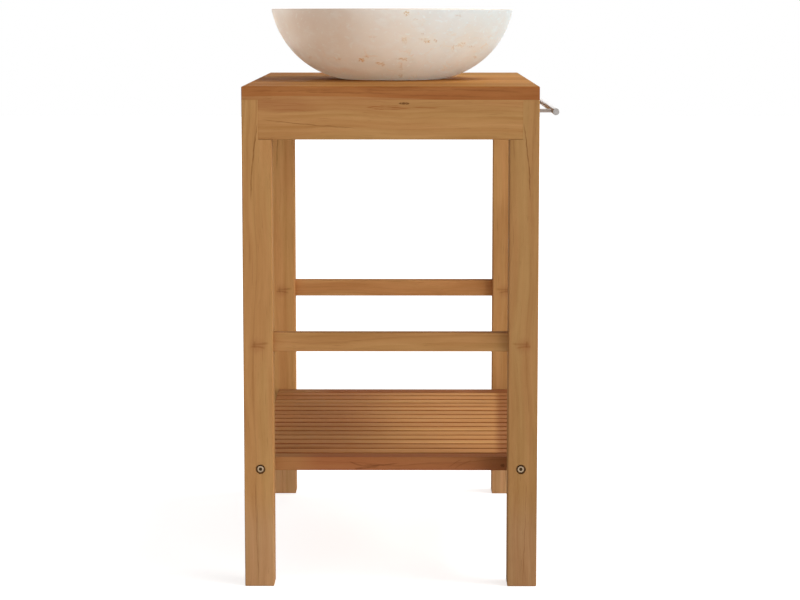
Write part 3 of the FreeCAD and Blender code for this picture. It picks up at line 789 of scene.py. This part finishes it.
def marble_group():
    pen, given, handed = node_group("Cream marble", {"Place": ORIGIN}, ["Color", "Roughness", "Height"])
    place = given["Place"]

    def clouds(scale, detail, bend=0.0, shift=ORIGIN, output="Fac"):
        """A noise that is a little flattened, and swirled so far by a slower one."""
        moved = pen.vector("ADD", place, shift)
        if bend:
            moved = pen.pushed(moved, pen.noise(moved, 9, 2.0, output="Color"), (bend, bend, bend))
        return pen.noise(moved, (scale, scale, scale * 1.5), detail, output=output)

    def vein(scale, width, shift):
        line = pen.sum("ABSOLUTE", pen.less(clouds(scale, 4.0, 0.09, shift), 0.5))
        patch = pen.step(clouds(scale * 0.8, 1.0, 0, shift), 0.52, 0.66)
        return pen.times(pen.step(line, width, width * 0.15), patch)

    pink = pen.step(clouds(8, 3.0, 0.06), 0.42, 0.64)
    grey = pen.step(clouds(13, 3.0, 0.05, (3, 1, 2)), 0.50, 0.72)
    white = pen.step(clouds(38, 3.0, 0.02, (5, 5, 1)), 0.54, 0.74)
    flecks = pen.step(clouds(120, 2.0, 0.02, (2, 7, 4)), 0.60, 0.70)
    veins = pen.most(vein(16, 0.014, (1, 2, 3)), pen.times(vein(27, 0.016, (4, 2, 0)), 0.6))
    colour = pen.lay(seen(*STONE_CREAM), seen(*STONE_PINK), pink, 0.50)
    colour = pen.lay(colour, seen(*STONE_GREY), grey, 0.40)
    white = pen.most(pen.times(white, 0.55), pen.times(flecks, 0.62))
    colour = pen.lay(colour, seen(*STONE_WHITE), white)
    colour = pen.lay(colour, seen(*STONE_RUST, 1.5), veins, 0.30)

    inward, beside, above = pen.split(place)
    # Painted shade: a wide cloud on the upper back.
    colour = pen.tint(colour, SHADE_CLOUD_TINT, painted_shade_cloud(pen, place), pen.plus(0.9, pink, 0.1))
    # Painted warm bounce light from the wood, pinker towards the foot.
    colour = pen.tint(colour, FOOT_BOUNCE_TINT, pen.ramp(above, *FOOT_BOUNCE_HEIGHTS), pen.ramp(beside, *FOOT_BOUNCE_LIMITS))
    # Painted light on the front side.
    colour = pen.tint(colour, LIT_SIDE_TINT, pen.ramp(beside, *LIT_SIDE_LIMITS))

    shaken = pen.pushed(place, clouds(190, 2.0, output="Color"), SPECK_SHAKE)
    near_side = pen.ramp(inward, *NEAR_SIDE_LIMITS)
    specks = 0.0
    for y, z, half_width, half_height, strength in RUST_SPECKS.values():
        away = pen.vector("SUBTRACT", shaken, (0, y * MM, z * MM))
        away = pen.vector("MULTIPLY", away, (0, 1 / (half_width * MM), 1 / (half_height * MM)))
        spot = pen.step(pen.vector("LENGTH", away), *SPECK_BORDER)
        specks = pen.most(specks, pen.times(spot, strength))
    cells = pen.add("ShaderNodeTexVoronoi", {"Vector": shaken, "Scale": 24.0})
    chosen = pen.step(pen.split(cells["Color"])[0], 0.52, 0.60)
    loose = pen.times(pen.step(cells["Distance"], 0.17, 0.05), chosen, 0.7, pen.less(1.0, near_side))
    rust = pen.most(pen.times(specks, near_side), loose)
    rust = pen.times(rust, pen.step(clouds(330, 2.0), 0.34, 0.56))
    colour = pen.lay(colour, seen(*STONE_RUST), rust)

    rough = pen.plus(pen.plus(0.38, clouds(55, 2.0), 0.16), rust, 0.25)
    pits = pen.step(clouds(620, 1.0), 0.66, 0.76)
    pen.feed(handed, [colour, rough, pen.plus(clouds(90, 2.0), pen.most(pits, rust), -0.6)])
    return pen.tree


def marble(centre, height):
    """Honed marble, whose pattern starts from the middle of the bowl's foot. The flat rim is polished."""
    material, pen, shader = material_pen("Cream marble")
    coordinates = pen.add("ShaderNodeTexCoord")
    place = pen.mapped(coordinates["Object"], centre)
    stone = pen.use("Cream marble", {"Place": place})
    polished = pen.step(pen.split(place)[2], height - RIM_POLISH_DEPTH, height)
    inside = pen.step(pen.split(coordinates["Normal"])[2], 0.05, 0.30)
    # Less glow in the cloud of painted shade, which darkens it further.
    shade_cloud_loss = pen.times(painted_shade_cloud(pen, place), SHADE_CLOUD_GLOW_LOSS)
    loss = pen.most(shade_cloud_loss, pen.times(inside, STONE_INSIDE_LOSS))
    pen.feed(shader, {
        "Base Color": stone["Color"], "Normal": pen.bump(stone["Height"], *STONE_BUMP),
        "Roughness": pen.times(stone["Roughness"], pen.plus(1.0, polished, RIM_POLISH - 1)),
        "Specular IOR Level": STONE_SHEEN, "Subsurface Weight": pen.less(STONE_GLOW, loss),
        "Subsurface Radius": STONE_SPREAD, "Subsurface Scale": STONE_DEPTH})
    return material


print("group:", marble_group().name, "with", len(RUST_SPECKS), "placed specks")

# %% [markdown]
# ## The bowl
#
# A vessel basin is ground on a turntable, so its section is two arcs joined by a flat rim: the outer arc
# rises from a flat foot, the inner one from a flat floor with a seat for the waste. An arc that starts at a
# slope s and reaches a point so far out (run) and up (rise) has the radius
# (run squared + rise squared) / (2 * (rise * cos s - run * sin s)). The section is one closed loop, turned
# about the upright axis. Hand polishing leaves the wall very slightly uneven: a slow wave of up to a tenth
# of a millimetre, kept off the foot and the rim, bends the reflections as on the real bowl.

# %% Basin
BOWL_FOOT, BOWL_FLOOR, BOWL_FLOOR_HEIGHT = 81 * MM, 45 * MM, 22 * MM
BOWL_FOOT_SLOPE_DEGREES = 9.0
BOWL_RIM, BOWL_RIM_WIDTH, BOWL_RIM_ROUNDING = 200 * MM, 16 * MM, 2.5 * MM
WASTE_RADIUS, WASTE_SEAT, WASTE_SEAT_DEPTH = 22.5 * MM, 32 * MM, 3 * MM
BOWL_STEPS, ARC_STEPS, CORNER_STEPS = 160, 72, 7
WAVE_HEIGHT = 0.05 * MM


def rising_arc(start, end, slope_degrees=0.0):
    """Points (radius, height) on an arc that leaves the start at that slope and climbs to the end."""
    run, rise, slope = end[0] - start[0], end[1] - start[1], math.radians(slope_degrees)
    radius = (run ** 2 + rise ** 2) / (2 * (rise * math.cos(slope) - run * math.sin(slope)))
    centre = (start[0] - radius * math.sin(slope), start[1] + radius * math.cos(slope))
    last = math.degrees(math.atan2(end[0] - centre[0], centre[1] - end[1]))
    points = arc(centre, radius, slope_degrees - 90, last - 90, ARC_STEPS)
    return points[np.linalg.norm(points - end, axis=1) > BOWL_RIM_ROUNDING]


def rounded_corner(before, corner, after):
    """A curve round a corner of the rim, from BOWL_RIM_ROUNDING before it to as far after it:
    (1-t)^2 a + 2t(1-t) corner + t^2 b."""
    first, last = (corner + (side - corner) * BOWL_RIM_ROUNDING / np.linalg.norm(side - corner)
                   for side in (before, after))
    t = np.linspace(0, 1, CORNER_STEPS)[:, None]
    return (1 - t) ** 2 * first + 2 * t * (1 - t) * corner + t ** 2 * last


def bowl_section(height):
    """The closed section of the bowl's wall as (radius, height), from the foot's edge to the hole's. Both
    arcs stop short of the rim's corners, which are rounded."""
    outer_rim, inner_rim = np.array([BOWL_RIM, height]), np.array([BOWL_RIM - BOWL_RIM_WIDTH, height])
    outer = rising_arc((BOWL_FOOT, 0), outer_rim, BOWL_FOOT_SLOPE_DEGREES)
    inner = rising_arc((BOWL_FLOOR, BOWL_FLOOR_HEIGHT), inner_rim)[::-1]
    seat = BOWL_FLOOR_HEIGHT - WASTE_SEAT_DEPTH
    floor = [[WASTE_SEAT, BOWL_FLOOR_HEIGHT], [WASTE_SEAT, seat], [WASTE_RADIUS, seat], [WASTE_RADIUS, 0]]
    return np.concatenate([outer, rounded_corner(outer[-1], outer_rim, inner_rim),
                           rounded_corner(outer_rim, inner_rim, inner[0]), inner, floor])


low, high = corners("basin")
bowl_centre = ((low[0] + high[0]) / 2, (low[1] + high[1]) / 2, low[2])
bowl_height = high[2] - low[2]
section = bowl_section(bowl_height)
radius, level = section[:, :1], section[:, 1:]
around = np.linspace(0, 2 * math.pi, BOWL_STEPS, endpoint=False)
calm = np.sin(math.pi * np.clip(level / bowl_height, 0, 1)) ** 2
wave = WAVE_HEIGHT * calm * (np.sin(3 * around + 40 * level) + np.sin(5 * around + 1.3))
bowl = turned("basin_bowl", radius + wave, section[:, 1], bowl_centre, (0, 0, 1), BOWL_STEPS, close_rows=True)
stand_in("basin", bowl, marble(bowl_centre, bowl_height), "basin")
print("bowl:", len(bowl.polygons), "faces, across", round(high[0] - low[0], 4), "high", round(bowl_height, 4))

# %% [markdown]
# ## Steel and brass
#
# The rail and its posts are satin stainless steel, ground lengthways, so fine scratches run along them. The
# bolts and screws are zinc plated and a little dull, and the threaded inserts are plain brass. One group
# draws the fine scratches for all: a noise drawn out along one direction, which changes the roughness and a
# shallow bump, and a slow noise for handling marks. The bolts also have dirt and painted shade in their
# sockets, and the posts carry painted shade and a painted reflection of the wood.

# %% Ground metal group and materials
GROUND_TINT, DULL_TINT, METAL_BUMP = (0.62, 0.61, 0.60, 1), (0.50, 0.46, 0.42, 1), (0.15, 0.2 * MM)
SOCKET_RADIUS, SOCKET_DIRT_AND_SHADE = 2.6 * MM, (0.16, 0.12, 0.07, 1)


def ground_metal_group():
    pen, given, handed = node_group("Ground metal", {
        "Place": ORIGIN, "Scratches": (20, 2500, 2500), "Tint": WHITE, "Dulled": 0.3,
    }, ["Color", "Roughness", "Height"])
    drawn = pen.vector("MULTIPLY", given["Place"], given["Scratches"])
    scratch = pen.noise(drawn, 1, 3.0)
    dull = pen.times(pen.step(pen.noise(given["Place"], 130, 3.0), 0.40, 0.72), given["Dulled"])
    colour = pen.tint(pen.tint(given["Tint"], GROUND_TINT, scratch, 0.25), DULL_TINT, dull)
    pen.feed(handed, [colour, pen.plus(pen.plus(0.22, scratch, 0.18), dull, 0.30), scratch])
    return pen.tree


def metal(name, tint, scratches, dulled, marks=None):
    """A metal with so many scratches in a metre along each axis."""
    material, pen, shader = material_pen(name)
    place = pen.add("ShaderNodeTexCoord")["Object"]
    ground = pen.use("Ground metal", {
        "Place": place, "Scratches": scratches, "Tint": seen(*tint), "Dulled": dulled})
    pen.feed(shader, {
        "Base Color": marks(pen, place, ground["Color"]) if marks else ground["Color"],
        "Roughness": ground["Roughness"], "Normal": pen.bump(ground["Height"], *METAL_BUMP),
        "Metallic": 1.0})
    return material


def socket_dirt_and_shade(pen, place, colour):
    """Dirt and painted shade in the bolts' sockets: dark within SOCKET_RADIUS of a bolt's axis, both axes
    folded onto one.
    """
    low, high = corners("shelf_bolts")
    middle, head_radius = (low + high) / 2, (high[2] - low[2]) / 2
    _, across, up = pen.split(pen.vector("SUBTRACT", place, middle.tolist()))
    out = pen.less(pen.sum("ABSOLUTE", across), high[1] - middle[1] - head_radius)
    away = pen.vector("LENGTH", pen.pack(0, out, up))
    # Dirt and painted shade in the socket.
    return pen.tint(colour, SOCKET_DIRT_AND_SHADE, pen.step(away, SOCKET_RADIUS * 1.08, SOCKET_RADIUS * 0.92))


print("group:", ground_metal_group().name)
bar_steel = metal("Satin steel bar", (158, 154, 151), (15, 2600, 2600), 0.15)
# The posts' tint is darker and browner than the bar's: painted shade from the apron and a painted reflection
# of the wood.
post_steel = metal("Satin steel posts", (150, 137, 128), (2600, 15, 2600), 0.15)
bolt_steel = metal("Zinc bolts", (160, 140, 116), (900, 900, 900), 0.45, socket_dirt_and_shade)
screw_steel = metal("Zinc screws", (186, 181, 172), (700, 700, 700), 0.45)
insert_brass = metal("Plain brass", (206, 170, 98), (300, 2000, 2000), 0.40)
for name in nodes_named("top_screws", "cleat_screws", "slat_screws", "rail_screws"):
    dress(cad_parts[name], screw_steel)
dress(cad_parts["shelf_bolts"], bolt_steel)
dress(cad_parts["shelf_inserts"], insert_brass)
print("fasteners dressed")

# %% [markdown]
# ## The towel rail
#
# The bar is a cut length of round bar with its ends faced and lightly broken, and the posts are thinner rods
# let into it. All are turned shapes. A post needs a small collar where it meets the apron, or it would look
# stuck on: here the profile flares in a quarter round over its last millimetre.

# %% Towel bar and posts
BAR_END_ROUNDING, BAR_FACE_DISH, POST_FLARE = 0.8 * MM, 0.15 * MM, 1.2 * MM
BAR_STEPS, POST_STEPS = 64, 40


def bar_profile(radius, half_length):
    """(radius, along) of the bar: a dished face, a rounded edge, the cylinder, and the same again."""
    edge = arc((radius - BAR_END_ROUNDING, half_length - BAR_END_ROUNDING), BAR_END_ROUNDING, 90, 0, 7)
    dish = [[0, half_length - BAR_FACE_DISH], [radius * 0.55, half_length - BAR_FACE_DISH * 0.4]]
    end = np.concatenate([dish, edge])
    return np.concatenate([end * (1, -1), end[::-1]])


low, high = corners("towel_bar")
bar_length, bar_radius = high[0] - low[0], (high[2] - low[2]) / 2
profile = bar_profile(bar_radius, bar_length / 2)
bar = turned("towel_rail_bar", profile[:, :1], profile[:, 1], (low + high) / 2, (1, 0, 0), BAR_STEPS)
stand_in("towel_bar", bar, bar_steel, "stand")

for end in ("left", "right"):
    low, high = corners(f"towel_post_{end}")
    radius, middle = (high[0] - low[0]) / 2, (low + high) / 2
    flare = arc((radius + POST_FLARE, high[1] - POST_FLARE), POST_FLARE, 180, 90, 6)
    profile = np.concatenate([[[0, low[1]], [radius, low[1]]], flare, [[0, high[1]]]])
    foot = middle * (1, 0, 1)
    post = turned(f"towel_rail_post_{end}", profile[:, :1], profile[:, 1], foot, (0, 1, 0), POST_STEPS)
    stand_in(f"towel_post_{end}", post, post_steel, "stand")
print("rail:", round(bar_length, 4), "long,", round(2 * bar_radius, 4), "thick")

# %% [markdown]
# ## Floor, world and lamps
#
# A studio's white is two things: light on the object and white behind it. Making the lamps stronger until the
# floor turns white would bleach the object too. So the floor and the world show pure white only to rays that
# come from the camera, a mirror-like surface or glass, and light the object at a plain level. The floor keeps
# its own soft shading under that white, so the object still stands on it.
#
# The lamps are broad suns, which light every part alike. The main one stands low at the near end's front
# side, as a large window would, so the undersides stay light. A high one over the front draws the soft
# shadows of the apron and the bowl. Two weak ones fill the back and the far end, and the pale world does the
# rest.

# %% Floor and lights
FLOOR_SIZE, FLOOR_LIFT, WORLD_LIGHT = 30.0, 0.68, 0.30
FLOOR_COLOURS = (0.80, 0.80, 0.80, 1), (0.784, 0.784, 0.784, 1)
# Each lamp's azimuth and elevation, its strength and its width, with angles in degrees.
LAMPS = {
    "Front lamp": (62, 10, 2.46, 55),
    "High lamp": (90, 65, 1.05, 25),
    "Back lamp": (338, 6, 0.68, 50),
    "Far end lamp": (180, 25, 0.50, 50),
}


def shown_rays(pen):
    """1 for rays that come from the camera, a mirror-like surface or glass."""
    ray = pen.add("ShaderNodeLightPath")
    return pen.most(ray["Is Camera Ray"], ray["Is Glossy Ray"], ray["Is Transmission Ray"])


def floor_material():
    """Matt pale floor, whose own light is added only for the shown rays."""
    material, pen, shader = material_pen("Studio floor")
    tone = pen.noise(pen.add("ShaderNodeTexCoord")["Object"], 0.6, 2.0)
    pen.feed(shader, {
        "Base Color": pen.lay(*FLOOR_COLOURS, tone), "Roughness": 0.9, "Specular IOR Level": 0.0,
        "Emission Color": WHITE, "Emission Strength": pen.times(shown_rays(pen), FLOOR_LIFT)})
    return material


def white_world():
    """A world that lights at WORLD_LIGHT and is white to the shown rays."""
    world = bpy.data.worlds.new("Studio world")
    bpy.context.scene.world = world
    world.use_nodes = True
    pen = Pen(world.node_tree)
    strength = pen.plus(WORLD_LIGHT, shown_rays(pen), 1.0 - WORLD_LIGHT)
    pen.feed(world.node_tree.nodes["Background"].inputs, {"Color": WHITE, "Strength": strength})


def lamp(name, azimuth, elevation, strength, width):
    """A sun as seen from the washstand, where azimuth 0 is the near end and 90 the front."""
    around, up = math.radians(azimuth), math.radians(elevation)
    towards = (-math.cos(around) * math.cos(up), -math.sin(around) * math.cos(up), math.sin(up))
    data = bpy.data.lights.new(name, "SUN")
    data.energy, data.angle = strength, math.radians(width)
    point(link(name, data), towards, "Z")


def point(piece, towards, axis):
    """Turns a lamp or a camera until one of its own axes points that way, with its Y axis up."""
    piece.rotation_mode = "QUATERNION"
    piece.rotation_quaternion = Vector(towards).to_track_quat(axis, "Y")


side = np.array([-FLOOR_SIZE, FLOOR_SIZE]) / 2
floor_points = np.stack([*np.meshgrid(side, side), np.zeros((2, 2))], axis=-1)
floor_mesh = bpy.data.meshes.new("studio_floor")
floor_mesh.from_pydata(floor_points.reshape(-1, 3), [], [(0, 1, 3, 2)])
floor = link("studio_floor", floor_mesh)
dress(floor, floor_material())
white_world()
for name, values in LAMPS.items():
    lamp(name, *values)
bpy.context.scene.view_settings.view_transform = "Standard"
print("lamps:", list(LAMPS))

# %% [markdown]
# ## The camera
#
# The photograph looks level along the washstand from one end, from just above the bowl and quite far off, so
# the far legs come out only a little smaller than the near ones. The camera stands in that place, and is
# tilted down to bring the washstand to the middle of the frame. The long lens keeps the tilt from showing.

# %% Camera
CAMERA_PLACE = (-3.911, -0.00945, 0.8914)
CAMERA_TILT, CAMERA_TURN = math.radians(-7.16678), math.radians(0.24833)
CAMERA_LENS, SENSOR_WIDTH = 105.51, 36.0

camera = link("Camera", bpy.data.cameras.new("Camera"))
camera.location = CAMERA_PLACE
level = math.cos(CAMERA_TILT)
towards = (level * math.cos(CAMERA_TURN), level * math.sin(CAMERA_TURN), math.sin(CAMERA_TILT))
point(camera, towards, "-Z")
camera.data.lens, camera.data.sensor_width = CAMERA_LENS, SENSOR_WIDTH
camera.data.sensor_fit = "HORIZONTAL"
bpy.context.scene.camera = camera
print("camera at", CAMERA_PLACE, "lens", CAMERA_LENS)
